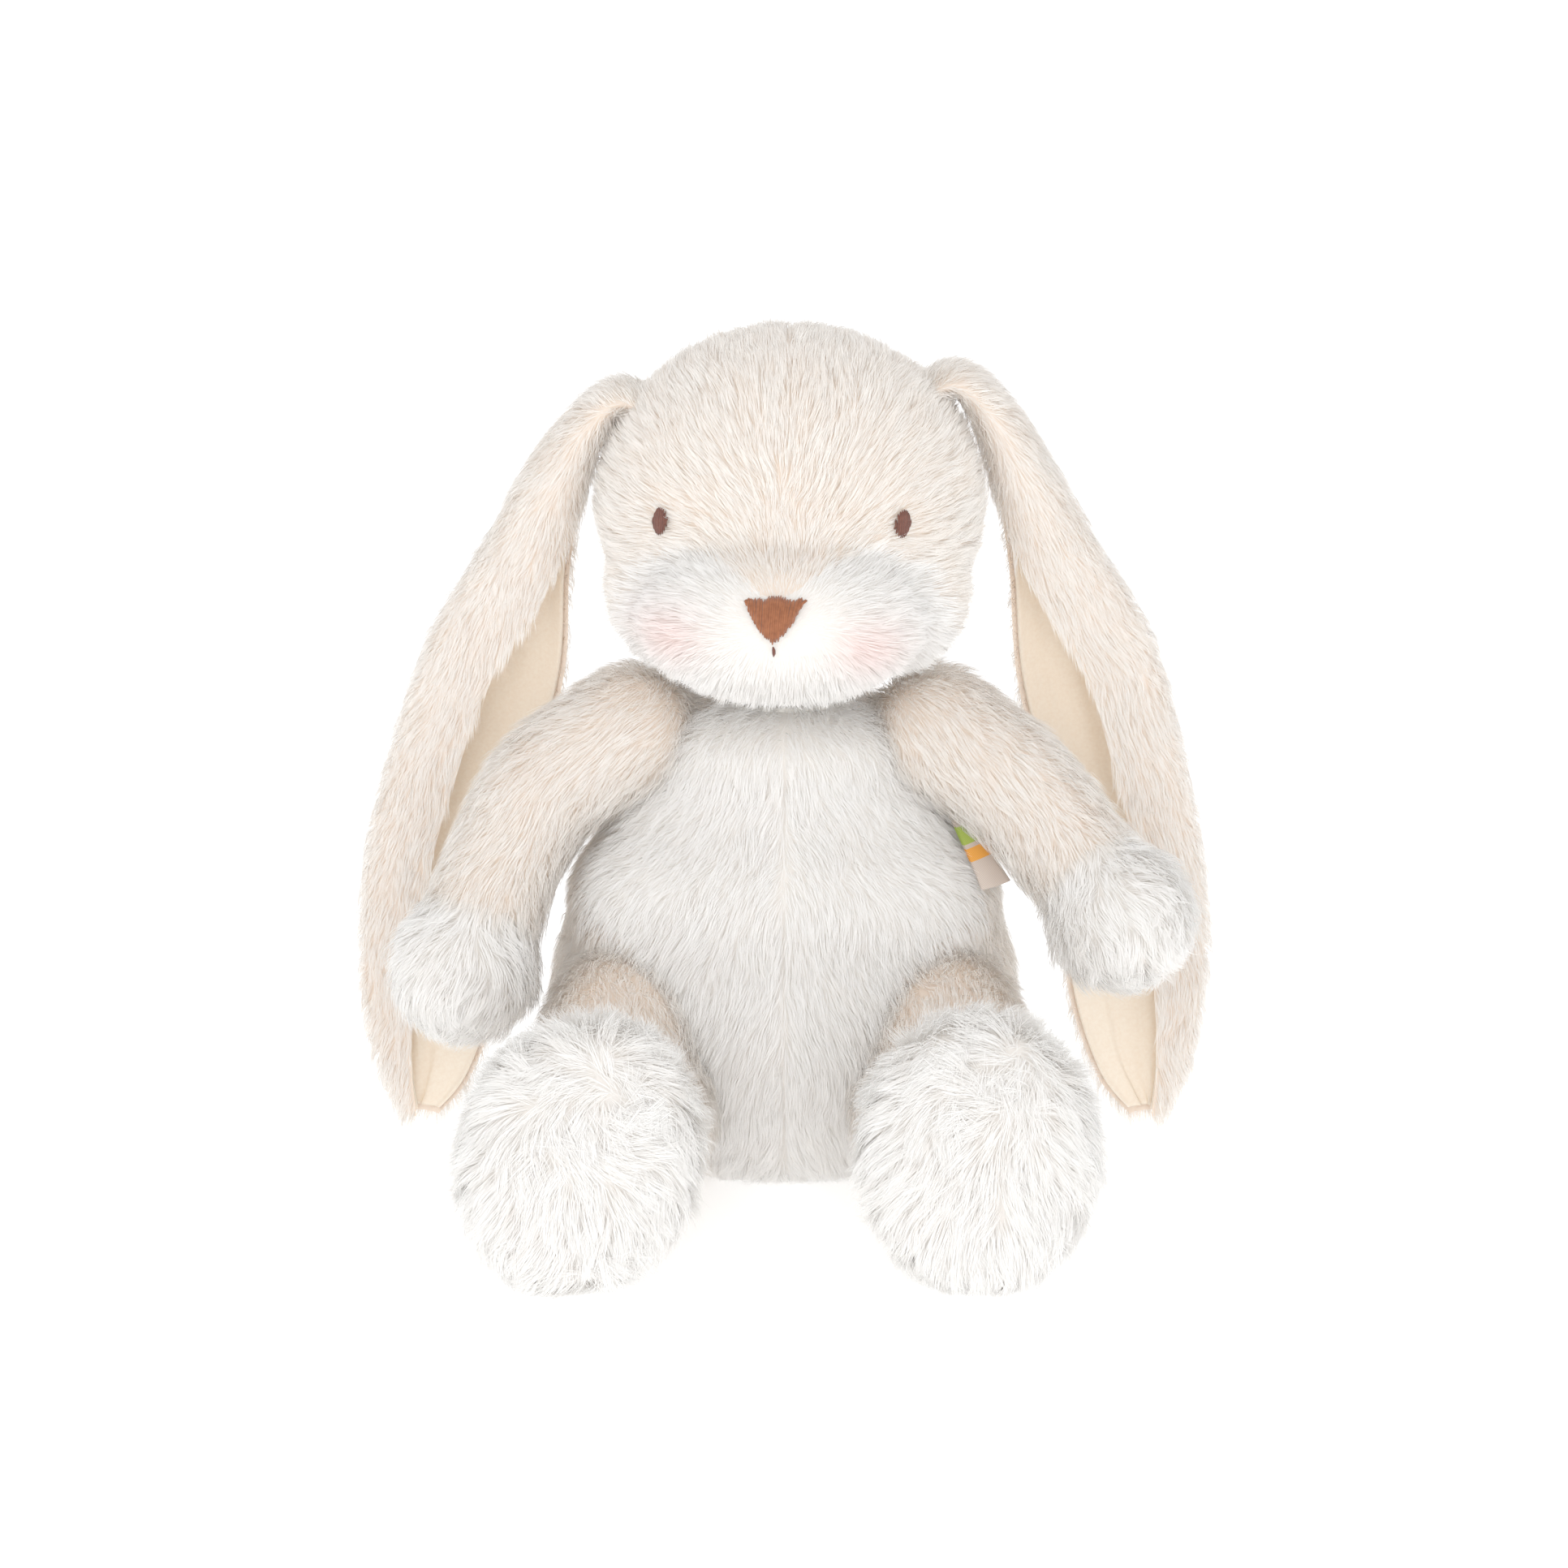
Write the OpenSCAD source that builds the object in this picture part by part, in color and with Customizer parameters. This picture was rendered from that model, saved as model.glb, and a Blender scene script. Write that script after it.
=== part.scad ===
// Seated lop-eared plush rabbit: fur skins over fibre filling, sewn on legs, arms and ears.
// Millimetres. +Z is up, the face looks along -Y, and the origin is the middle of the flat seat.

/* [Body] */
// Width of the body at the hips
body_w = 164; // [140:1:170]
// Depth of the body from belly to back
body_d = 120; // [104:1:134]
// Height of the top of the shoulders above the seat
shoulder_z = 165; // [155:1:168]
// Thickness of a fur skin, cloth and pile together
skin = 4; // [3:0.5:5]

/* [Head] */
// Width of the head across the cheeks
head_w = 134; // [120:1:144]
// Depth of the head without its muzzle
head_d = 112; // [100:1:120]
// Height of the crown above the seat
crown_z = 295; // [285:1:305]
// How far the muzzle stands in front of the neck
muzzle_reach = 74; // [68:1:80]
// Turn of the face towards -X
head_turn = 4; // [0:1:8]
// Distance between the eyes
eye_gap = 77; // [66:1:84]

/* [Ears] */
// Thickness of the furry outside of an ear
ear_fur = 4; // [3:0.5:5]
// Thickness of the smooth ear lining
ear_lining = 1.5; // [1:0.1:2]
// Scale of an ear's width
ear_width = 1; // [0.85:0.01:1.1]

/* [Arms] */
// Radius of the arm at the shoulder
shoulder_r = 22; // [19:0.5:24]
// Radius of a paw
paw_r = 26; // [22:0.5:28]

/* [Legs] */
// Radius of the round hip that turns in the body
hip_r = 42; // [38:0.5:44]
// Width of a thigh across the hip
thigh_w = 50; // [46:1:56]
// Height of a foot, heel to toe
foot_h = 92; // [80:1:96]
// Width of a foot
foot_w = 72; // [62:1:76]
// Lean of the left foot towards the other foot
foot_left_lean = 20; // [0:1:25]
// Lean of the right foot towards the other foot
foot_right_lean = 3; // [0:1:25]

/* [Hidden] */
$fn = 48;

cream = [0.96, 0.92, 0.85];
white = [0.98, 0.97, 0.95];
lining_colour = [0.95, 0.9, 0.8];
fibre = [0.93, 0.93, 0.91];
brown = [0.45, 0.22, 0.12];

seam = 0.4;          // gap left between two pieces of one body
play = 0.8;          // gap left between a turning piece and its socket
far = 400;           // longer than the whole toy

// Body: a wide seat and a narrower chest
seat_c = [0, 10, 62];
seat_size = [body_w / 2, body_d / 2, 71];
chest_c = [0, 8, shoulder_z - 54];
chest_size = [body_w * 0.393, body_d * 0.4, 54];
body_poles = [90, -90, 0];
tail_r = 16;
tail_c = [0, seat_c[1] + seat_size[1] + tail_r - 4.6, 32];
tail_hole = 3.5;
bag_c = [0, 24, 19];
bag_size = [36, 26, 13.5];
bag_cloth = 1;

// Neck: a round plug of filling that the head turns and nods on
neck_c = [0, 6, 166];
neck_r = 22;

// Head
skull_size = [head_w / 2, head_d / 2, 61];
skull_c = [2, 2, crown_z - skull_size[2]];
muzzle_size = [49, 38, 29];
muzzle_c = [0, muzzle_size[1] - muzzle_reach - 2, skull_c[2] - 34];
nose_w = 20;
nose_h = 14;
nose_z = skull_c[2] - 26;
eye_z = skull_c[2] - 1;
head_poles = [90, -90, 0];
filling_poles = [0, 0, -90];

// Hips and shoulders, for the side at +X
hip_c = [54, -22, hip_r];
shoulder_c = [50, 0, shoulder_z - 9];
leg_r = 28;
foot_left_c = [-65, -116, foot_h * 0.487];
foot_right_c = [62, -116, foot_h / 2];
foot_depth = 46;
sole_y = foot_left_c[1] - 4;

// Arm lines from the shoulder to the elbow and the wrist, then the middle of the paw
left_arm = [[-50, 0, shoulder_c[2]], [-80, -5, 137], [-96, -14, 110], [-107, -25, 80]];
right_arm = [[50, 0, shoulder_c[2]], [77, -10, 139], [97, -22, 118], [112, -34, 100]];
elbow_r = 20.5;
wrist_r = 20;

// Ear stations for the side at +X: x, y, z of the middle, half width, half depth,
// then the angles that the rolled cloth reaches round to the front and to the back
ear_stations = [
    [57, 8, 279, 6.6, 20, 150, 150],
    [71, 10, 266, 8.5, 21, 150, 150],
    [83, 16, 240, 12, 20, 150, 150],
    [92, 25, 213, 17, 18, 125, 150],
    [104, 38, 175, 26, 16, 95, 158],
    [114, 45, 135, 28, 14, 86, 162],
    [121, 47, 95, 28.5, 12.5, 82, 165],
    [124, 45, 55, 27, 11, 75, 168],
    [126, 42, 25, 19, 9.5, 70, 168],
    [128, 40, 9, 9, 8, 70, 150]
];
ear_rows = 20;
ear_cols = 12;

// ---- Shapes ----

module at(c, size, poles = [90, 0, 0]) {
    // An ellipsoid about c; poles turns the sphere that it is stretched from
    translate(c)
        scale(size / 10)
            rotate(poles)
                sphere(r = 10);
}

module rounded_wheel(r, w, rim) {
    // A wheel about the X axis whose rims are rounded
    rotate([0, 90, 0])
        rotate_extrude()
            intersection() {
                translate([0, -w])
                    square([r * 2, w * 2]);
                hull() {
                    for (s = [-1, 1])
                        translate([r - rim, s * (w / 2 - rim)])
                            circle(r = rim);
                    translate([0, -w / 2])
                        square([1, w]);
                }
            }
}

module link(p, q, r1, r2) {
    // A cone from p to q
    d = q - p;
    len = norm(d);
    translate(p)
        rotate([0, acos(d[2] / len), atan2(d[1], d[0])])
            cylinder(r1 = r1, r2 = r2, h = len);
}

module limit(z0) {
    translate([-far / 2, -far / 2, z0])
        cube([far, far, far]);
}

// ---- Body ----

module body_form(inset) {
    intersection() {
        union() {
            at(seat_c, seat_size - [inset, inset, inset], body_poles);
            at(chest_c, chest_size - [inset, inset, inset], body_poles);
        }
        limit(max(inset, 0));
    }
}

module body_sockets(gap) {
    for (s = [-1, 1]) {
        translate([s * hip_c[0], hip_c[1], hip_c[2]])
            rounded_wheel(hip_r + gap, thigh_w + 2 * gap, 14);
        translate([s * shoulder_c[0], shoulder_c[1], shoulder_c[2]])
            sphere(r = shoulder_r + gap);
    }
    for (line = [left_arm, right_arm])
        link(line[0], line[1], shoulder_r - 1 + gap, elbow_r + gap);
    translate(neck_c)
        sphere(r = neck_r + gap);
}

module body_shell() {
    difference() {
        body_form(0);
        body_form(skin);
        body_sockets(play);
    }
}

module belly_outline(grow) {
    // The shield-shaped front panel, as seen from the front
    offset(delta = grow)
        polygon([
            [-34, shoulder_z + 10], [34, shoulder_z + 10], [52, 140], [64, 112], [66, 96],
            [50, 88], [34, 68], [25, 30], [24, -10], [-24, -10], [-25, 30], [-34, 68],
            [-50, 88], [-66, 96], [-64, 112], [-52, 140]
        ]);
}

module belly_zone(grow) {
    translate([0, -6 + grow, 0])
        rotate([90, 0, 0])
            linear_extrude(height = far)
                belly_outline(grow);
}

module belly_half(side) {
    intersection() {
        body_shell();
        belly_zone(0);
        translate([side > 0 ? seam / 2 : -far - seam / 2, -far, 0])
            cube([far, far, far]);
    }
}

module body_back_skin() {
    color(cream)
        difference() {
            body_shell();
            belly_zone(seam);
        }
}

module belly_panel_left() {
    color(white)
        belly_half(-1);
}

module belly_panel_right() {
    color(white)
        belly_half(1);
}

module bag_form(inset) {
    at(bag_c, bag_size - [inset, inset, inset], [0, 0, 0]);
}

module body_stuffing() {
    color(fibre)
        difference() {
            body_form(skin + seam);
            body_sockets(play + skin);
            bag_form(-seam);
            translate([bag_c[0], bag_c[1], 0])
                scale([bag_size[0] + seam, bag_size[1] + seam, 1])
                    cylinder(r = 1, h = bag_c[2]);
        }
}

module bag_half(top) {
    intersection() {
        difference() {
            bag_form(0);
            bag_form(bag_cloth);
        }
        translate([0, 0, top ? bag_c[2] + seam / 4 : bag_c[2] - seam / 4 - far])
            translate([-far / 2, -far / 2, 0])
                cube([far, far, far]);
    }
}

module pellet_bag_top() {
    color(fibre)
        bag_half(true);
}

module pellet_bag_base() {
    color(fibre)
        bag_half(false);
}

module pellets() {
    color([0.8, 0.8, 0.78])
        bag_form(bag_cloth + seam / 2);
}

module tail_skin() {
    // A ball of fur, with the small opening that it is filled through facing the back
    color(white)
        translate(tail_c)
            rotate([90, 0, 0])
                difference() {
                    sphere(r = tail_r);
                    sphere(r = tail_r - skin);
                    cylinder(r = tail_hole, h = tail_r * 2);
                }
}

module tail_stuffing() {
    color(fibre)
        translate(tail_c)
            sphere(r = tail_r - skin - seam);
}

module ribbon_label() {
    // A folded ribbon that stands out of the side seam
    color([0.9, 0.88, 0.84])
        difference() {
            translate([59, 10, 108])
                rotate([0, 15, 0])
                    cube([21, 1.2, 20]);
            body_form(-0.1);
        }
}

// ---- Neck ----

module neck_stuffing() {
    color(fibre)
        translate(neck_c)
            sphere(r = neck_r);
}

module neck_seam() {
    color(cream)
        translate(neck_c)
            rotate_extrude()
                translate([neck_r + 1.2, 0])
                    circle(r = 1);
}

// ---- Head ----

module facing() {
    // Turns the face a little towards -X, about the middle of the skull
    translate([skull_c[0], skull_c[1], 0])
        rotate([0, 0, -head_turn])
            translate([-skull_c[0], -skull_c[1], 0])
                children();
}

module head_form(inset, poles = head_poles) {
    at(skull_c, skull_size - [inset, inset, inset], poles);
    at([skull_c[0], muzzle_c[1], muzzle_c[2]], muzzle_size - [inset, inset, inset], poles);
}

module head_shell() {
    difference() {
        head_form(0);
        head_form(skin);
        translate(neck_c)
            sphere(r = neck_r + play);
    }
}

module muzzle_zone(grow) {
    // The white cheeks and chin, as seen from the front
    translate([skull_c[0], -8 + grow, skull_c[2]])
        rotate([90, 0, 0])
            linear_extrude(height = far)
                offset(delta = grow)
                    polygon([
                        [0, -24], [14, -15], [30, -9], [46, -17], [54, -32], [54, -80],
                        [-54, -80], [-54, -32], [-46, -17], [-30, -9], [-14, -15]
                    ]);
}

module head_half(side) {
    facing()
        intersection() {
            difference() {
                head_shell();
                muzzle_zone(seam);
            }
            translate([skull_c[0] + (side > 0 ? seam / 2 : -far - seam / 2), -far / 2, 0])
                cube([far, far, far]);
        }
}

module head_skin_left() {
    color(cream)
        head_half(-1);
}

module head_skin_right() {
    color(cream)
        head_half(1);
}

module muzzle_panel() {
    color(white)
        facing()
            intersection() {
                head_shell();
                muzzle_zone(0);
            }
}

module head_stuffing() {
    color(fibre)
        facing()
            difference() {
                head_form(skin + seam, filling_poles);
                translate(neck_c)
                    sphere(r = neck_r + play);
            }
}

module stitched(thickness) {
    // Embroidery: the outline given as children, laid on the face at one thickness
    facing()
        difference() {
            intersection() {
                translate([0, -40, 0])
                    rotate([90, 0, 0])
                        linear_extrude(height = 60)
                            children();
                head_form(-thickness);
            }
            head_form(-0.1);
        }
}

module nose() {
    color(brown)
        stitched(2)
            translate([skull_c[0], nose_z])
                polygon([
                    [-nose_w / 2, nose_h / 2 - 1], [-nose_w / 2 + 3, nose_h / 2],
                    [nose_w / 2 - 3, nose_h / 2], [nose_w / 2, nose_h / 2 - 1],
                    [1.5, -nose_h / 2], [-1.5, -nose_h / 2]
                ]);
}

module mouth_stitch() {
    color(brown)
        stitched(1)
            translate([skull_c[0] - 0.6, nose_z - nose_h / 2 - 5])
                square([1.2, 4.6]);
}

module eye(side) {
    color(brown)
        stitched(1.6)
            translate([skull_c[0] + side * eye_gap / 2, eye_z])
                scale([0.7, 1])
                    circle(r = 4.3);
}

module eye_left() {
    eye(-1);
}

module eye_right() {
    eye(1);
}

// ---- Ears ----

function smooth_step(a, b, c, d, t) =
    0.5 * (2 * b + (c - a) * t + (2 * a - 5 * b + 4 * c - d) * t * t
        + (3 * b - a - 3 * c + d) * t * t * t);

function station(s) =
    let (
        last = len(ear_stations) - 1,
        x = s * last,
        i = min(floor(x), last - 1)
    )
    smooth_step(
        ear_stations[max(i - 1, 0)], ear_stations[i],
        ear_stations[i + 1], ear_stations[min(i + 2, last)], x - i);

// Direction of the ear's width at s: square to its line, and in the XZ plane
function ear_out(s) =
    let (
        d = station(min(s + 0.02, 1)) - station(max(s - 0.02, 0)),
        l = norm([d[0], d[2]])
    )
    [-d[2] / l, 0, d[0] / l];

function ear_point(s, t, inset) =
    let (
        m = station(s),
        angle = -m[5] + (m[5] + m[6]) * t,
        a = m[3] * ear_width - inset,
        b = m[4] - inset
    )
    [m[0], m[1], m[2]] + ear_out(s) * a * cos(angle) + [0, b * sin(angle), 0];

module ear_sheet(inset, thick, s_end) {
    // A curved sheet between two insets, closed all round
    side = (ear_rows + 1) * (ear_cols + 1);
    function id(layer, i, j) = layer * side + i * (ear_cols + 1) + j;
    points = [
        for (layer = [0, 1])
            for (i = [0:ear_rows])
                for (j = [0:ear_cols])
                    ear_point(s_end * i / ear_rows, j / ear_cols, inset + layer * thick)
    ];
    function quad(a, b, c, d) = [[a, b, c], [a, c, d]];
    skins = [
        for (i = [0:ear_rows - 1])
            for (j = [0:ear_cols - 1])
                each concat(
                    quad(id(0, i, j), id(0, i, j + 1), id(0, i + 1, j + 1), id(0, i + 1, j)),
                    quad(id(1, i, j), id(1, i + 1, j), id(1, i + 1, j + 1), id(1, i, j + 1)))
    ];
    sides = [
        for (i = [0:ear_rows - 1])
            each concat(
                quad(id(0, i, 0), id(0, i + 1, 0), id(1, i + 1, 0), id(1, i, 0)),
                quad(id(0, i, ear_cols), id(1, i, ear_cols), id(1, i + 1, ear_cols),
                    id(0, i + 1, ear_cols)))
    ];
    ends = [
        for (j = [0:ear_cols - 1])
            each concat(
                quad(id(0, 0, j), id(1, 0, j), id(1, 0, j + 1), id(0, 0, j + 1)),
                quad(id(0, ear_rows, j), id(0, ear_rows, j + 1), id(1, ear_rows, j + 1),
                    id(1, ear_rows, j)))
    ];
    polyhedron(points = points, faces = concat(skins, sides, ends));
}

module ear_fur_sheet() {
    color(cream)
        ear_sheet(0, ear_fur, 1);
}

module ear_lining_sheet() {
    color(lining_colour)
        ear_sheet(ear_fur + 0.7, ear_lining, 0.97);
}

module ear_right_fur() {
    ear_fur_sheet();
}

module ear_right_lining() {
    ear_lining_sheet();
}

module ear_left_fur() {
    mirror([1, 0, 0])
        ear_fur_sheet();
}

module ear_left_lining() {
    mirror([1, 0, 0])
        ear_lining_sheet();
}

// ---- Arms ----

module arm_form(line, inset) {
    translate(line[0])
        sphere(r = shoulder_r - inset);
    link(line[0], line[1], shoulder_r - 2 - inset, elbow_r - 1 - inset);
    translate(line[1])
        sphere(r = elbow_r - inset);
    link(line[1], line[2], elbow_r - 1 - inset, wrist_r - 1 - inset);
    translate(line[2])
        sphere(r = wrist_r - inset);
    link(line[2], line[3], wrist_r - 1 - inset, wrist_r - inset);
}

module paw_form(line, inset) {
    translate(line[3])
        sphere(r = paw_r - inset);
}

module sleeve(line) {
    color(cream)
        difference() {
            arm_form(line, 0);
            arm_form(line, skin);
            paw_form(line, -seam);
        }
}

module paw(line) {
    color(white)
        difference() {
            paw_form(line, 0);
            paw_form(line, skin);
            arm_form(line, skin);
        }
}

module arm_stuffing(line) {
    color(fibre)
        union() {
            arm_form(line, skin + seam);
            paw_form(line, skin + seam);
        }
}

module arm_left_sleeve() {
    sleeve(left_arm);
}

module paw_left() {
    paw(left_arm);
}

module arm_left_stuffing() {
    arm_stuffing(left_arm);
}

module arm_right_sleeve() {
    sleeve(right_arm);
}

module paw_right() {
    paw(right_arm);
}

module arm_right_stuffing() {
    arm_stuffing(right_arm);
}

// ---- Legs ----

// A leg is given as its side, the middle of its foot, and the lean of the foot towards the other one
module leg_form(side, foot_c, inset) {
    translate([side * hip_c[0], hip_c[1], hip_c[2]])
        rounded_wheel(hip_r - inset, thigh_w - 2 * inset, 14);
    link(
        [side * hip_c[0], hip_c[1], leg_r + 4], [foot_c[0], foot_c[1], foot_c[2] - 8],
        thigh_w / 2 - inset, leg_r - 1 - inset);
}

module foot_form(side, foot_c, lean, inset) {
    translate(foot_c)
        rotate([0, -side * lean, 0])
            at([0, 0, 0], [foot_w / 2 - inset, foot_depth / 2 - inset, foot_h / 2 - inset]);
}

module leg_skin(side, foot_c, lean) {
    color(cream)
        difference() {
            leg_form(side, foot_c, 0);
            leg_form(side, foot_c, skin);
            foot_form(side, foot_c, lean, -seam);
        }
}

module foot_skin(side, foot_c, lean) {
    difference() {
        foot_form(side, foot_c, lean, 0);
        foot_form(side, foot_c, lean, skin);
        leg_form(side, foot_c, skin);
    }
}

module in_front_of(y) {
    translate([-far / 2, y - far, -far / 2])
        cube([far, far, far]);
}

module foot(side, foot_c, lean) {
    // The furry upper of the foot, behind the sole
    color(white)
        difference() {
            foot_skin(side, foot_c, lean);
            in_front_of(sole_y);
        }
}

module sole(side, foot_c, lean) {
    color(white)
        intersection() {
            foot_skin(side, foot_c, lean);
            in_front_of(sole_y - seam);
        }
}

module leg_stuffing(side, foot_c, lean) {
    color(fibre)
        union() {
            leg_form(side, foot_c, skin + seam);
            foot_form(side, foot_c, lean, skin + seam);
        }
}

module leg_left_skin() {
    leg_skin(-1, foot_left_c, foot_left_lean);
}

module foot_left() {
    foot(-1, foot_left_c, foot_left_lean);
}

module sole_left() {
    sole(-1, foot_left_c, foot_left_lean);
}

module leg_left_stuffing() {
    leg_stuffing(-1, foot_left_c, foot_left_lean);
}

module leg_right_skin() {
    leg_skin(1, foot_right_c, foot_right_lean);
}

module foot_right() {
    foot(1, foot_right_c, foot_right_lean);
}

module sole_right() {
    sole(1, foot_right_c, foot_right_lean);
}

module leg_right_stuffing() {
    leg_stuffing(1, foot_right_c, foot_right_lean);
}

body_back_skin();
belly_panel_left();
belly_panel_right();
body_stuffing();
pellet_bag_top();
pellet_bag_base();
pellets();
tail_skin();
tail_stuffing();
ribbon_label();
neck_stuffing();
neck_seam();
head_skin_left();
head_skin_right();
muzzle_panel();
head_stuffing();
nose();
mouth_stitch();
eye_left();
eye_right();
ear_left_fur();
ear_left_lining();
ear_right_fur();
ear_right_lining();
arm_left_sleeve();
paw_left();
arm_left_stuffing();
arm_right_sleeve();
paw_right();
arm_right_stuffing();
leg_left_skin();
foot_left();
sole_left();
leg_left_stuffing();
leg_right_skin();
foot_right();
sole_right();
leg_right_stuffing();
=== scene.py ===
import math

import bmesh
import bpy
import numpy as np
from mathutils import Matrix, Vector, noise
from mathutils.bvhtree import BVHTree
from mathutils.kdtree import KDTree


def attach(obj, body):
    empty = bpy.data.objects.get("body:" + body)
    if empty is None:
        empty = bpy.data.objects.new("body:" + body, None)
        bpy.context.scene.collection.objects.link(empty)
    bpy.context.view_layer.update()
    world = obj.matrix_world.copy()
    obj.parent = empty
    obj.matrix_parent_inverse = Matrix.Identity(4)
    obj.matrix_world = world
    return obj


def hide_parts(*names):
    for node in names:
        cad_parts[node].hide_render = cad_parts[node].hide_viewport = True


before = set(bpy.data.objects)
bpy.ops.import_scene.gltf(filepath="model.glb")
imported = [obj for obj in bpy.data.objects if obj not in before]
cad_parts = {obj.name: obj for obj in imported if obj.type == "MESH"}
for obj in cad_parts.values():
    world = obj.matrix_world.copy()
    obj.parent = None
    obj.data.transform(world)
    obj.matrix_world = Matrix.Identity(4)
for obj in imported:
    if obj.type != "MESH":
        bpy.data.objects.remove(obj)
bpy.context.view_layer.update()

MM = 0.001
SKIN_INSET = 4.4 * MM  # a form starts this far inside the CAD surface; its filling and its pile add the rest
SWELL = 2.0 * MM  # the most a form swells under its filling
FLOOR_GAP = 0.3 * MM
SKIN_SHARE = 0.65  # how far a strand is shaded like the skin under it


# ---- Camera, light and floor ----


def look_from(distance, elevation, target, width):
    """A camera in front of the object that frames this width at the target."""
    camera = bpy.data.objects.new("camera", bpy.data.cameras.new("camera"))
    bpy.context.scene.collection.objects.link(camera)
    away = Vector((0, -math.cos(elevation), math.sin(elevation)))
    camera.location = Vector(target) + away * distance
    camera.rotation_euler = (math.pi / 2 - elevation, 0, 0)
    camera.data.sensor_width = 36
    camera.data.lens = 36 * distance / width
    bpy.context.scene.camera = camera


def area_light(name, place, target, size, watts, colour):
    data = bpy.data.lights.new(name, "AREA")
    data.shape = "DISK"
    data.size = size
    data.energy = watts
    data.color = colour
    lamp = bpy.data.objects.new(name, data)
    bpy.context.scene.collection.objects.link(lamp)
    lamp.location = place
    aim = Vector(target) - Vector(place)
    lamp.rotation_euler = aim.to_track_quat("-Z", "Y").to_euler()


def studio():
    look_from(1.5, math.radians(12), (0, 0, 0.1371), 0.5332)
    world = bpy.data.worlds.new("studio")
    bpy.context.scene.world = world
    world.use_nodes = True
    background = world.node_tree.nodes["Background"]
    background.inputs["Color"].default_value = (1, 1, 1, 1)
    background.inputs["Strength"].default_value = 0.95
    middle = (0, 0, 0.14)
    area_light("key", (-0.45, -1.7, 0.9), middle, 0.9, 4, (1, 0.99, 0.98))
    area_light("front", (0.1, -2.0, 0.2), (0, 0, 0.08), 1.6, 15, (1, 0.995, 0.985))
    scene = bpy.context.scene
    scene.view_settings.view_transform = "Standard"
    scene.view_settings.look = "None"
    scene.view_settings.gamma = 1.15
    scene.cycles.diffuse_bounces = 8


def floor():
    mesh = bpy.data.meshes.new("floor")
    reach = 60
    corners = [(-reach, -reach, 0), (reach, -reach, 0), (reach, reach, 0), (-reach, reach, 0)]
    mesh.from_pydata(corners, [], [(0, 1, 2, 3)])
    obj = bpy.data.objects.new("floor", mesh)
    bpy.context.scene.collection.objects.link(obj)
    paper = bpy.data.materials.new("floor_paper")
    paper.use_nodes = True
    surface = paper.node_tree.nodes["Principled BSDF"]
    surface.inputs["Base Color"].default_value = (0.85, 0.85, 0.85, 1)
    surface.inputs["Roughness"].default_value = 1
    surface.inputs["Specular IOR Level"].default_value = 0
    surface.inputs["Emission Color"].default_value = (1, 1, 1, 1)
    surface.inputs["Emission Strength"].default_value = 0.5
    mesh.materials.append(paper)


# ---- Forms: the cloth under the pile ----


def stations(points, steps):
    """Catmull-Rom through rows of numbers, at steps places from the first to the last."""
    rows = np.array(points, float)
    last = len(rows) - 1
    out = []
    for s in np.linspace(0, last, steps):
        i = min(int(s), last - 1)
        t = s - i
        a, b = rows[max(i - 1, 0)], rows[i]
        c, d = rows[i + 1], rows[min(i + 2, last)]
        out.append(
            0.5 * (2 * b + (c - a) * t + (2 * a - 5 * b + 4 * c - d) * t**2
                   + (3 * b - a - 3 * c + d) * t**3)
        )
    return np.array(out)


def ball(bm, centre, radii, turn=(0, 0, 0)):
    place = Matrix.Translation(Vector(centre) * MM)
    spin = Matrix.Rotation(math.radians(turn[2]), 4, "Z") @ Matrix.Rotation(math.radians(turn[1]), 4, "Y")
    spin = spin @ Matrix.Rotation(math.radians(turn[0]), 4, "X")
    size = Matrix.Diagonal(Vector([r * MM for r in radii] + [1]))
    bmesh.ops.create_icosphere(bm, subdivisions=4, radius=1, matrix=place @ spin @ size)


def limb(bm, line, steps=24):
    """A round limb through rows of x, y, z and radius."""
    for x, y, z, r in stations(line, steps):
        place = Matrix.Translation(Vector((x, y, z)) * MM)
        bmesh.ops.create_icosphere(bm, subdivisions=3, radius=r * MM, matrix=place)


def form(name, fill, voxel=3.0, smooth=8):
    """One closed, smooth skin round the shapes that fill puts in a mesh."""
    bm = bmesh.new()
    fill(bm)
    mesh = bpy.data.meshes.new(name)
    bm.to_mesh(mesh)
    bm.free()
    obj = bpy.data.objects.new(name, mesh)
    bpy.context.scene.collection.objects.link(obj)
    remesh = obj.modifiers.new("one_skin", "REMESH")
    remesh.mode = "VOXEL"
    remesh.voxel_size = voxel * MM
    soft = obj.modifiers.new("soft", "SMOOTH")
    soft.factor = 0.5
    soft.iterations = smooth
    return apply_modifiers(obj)


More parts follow.
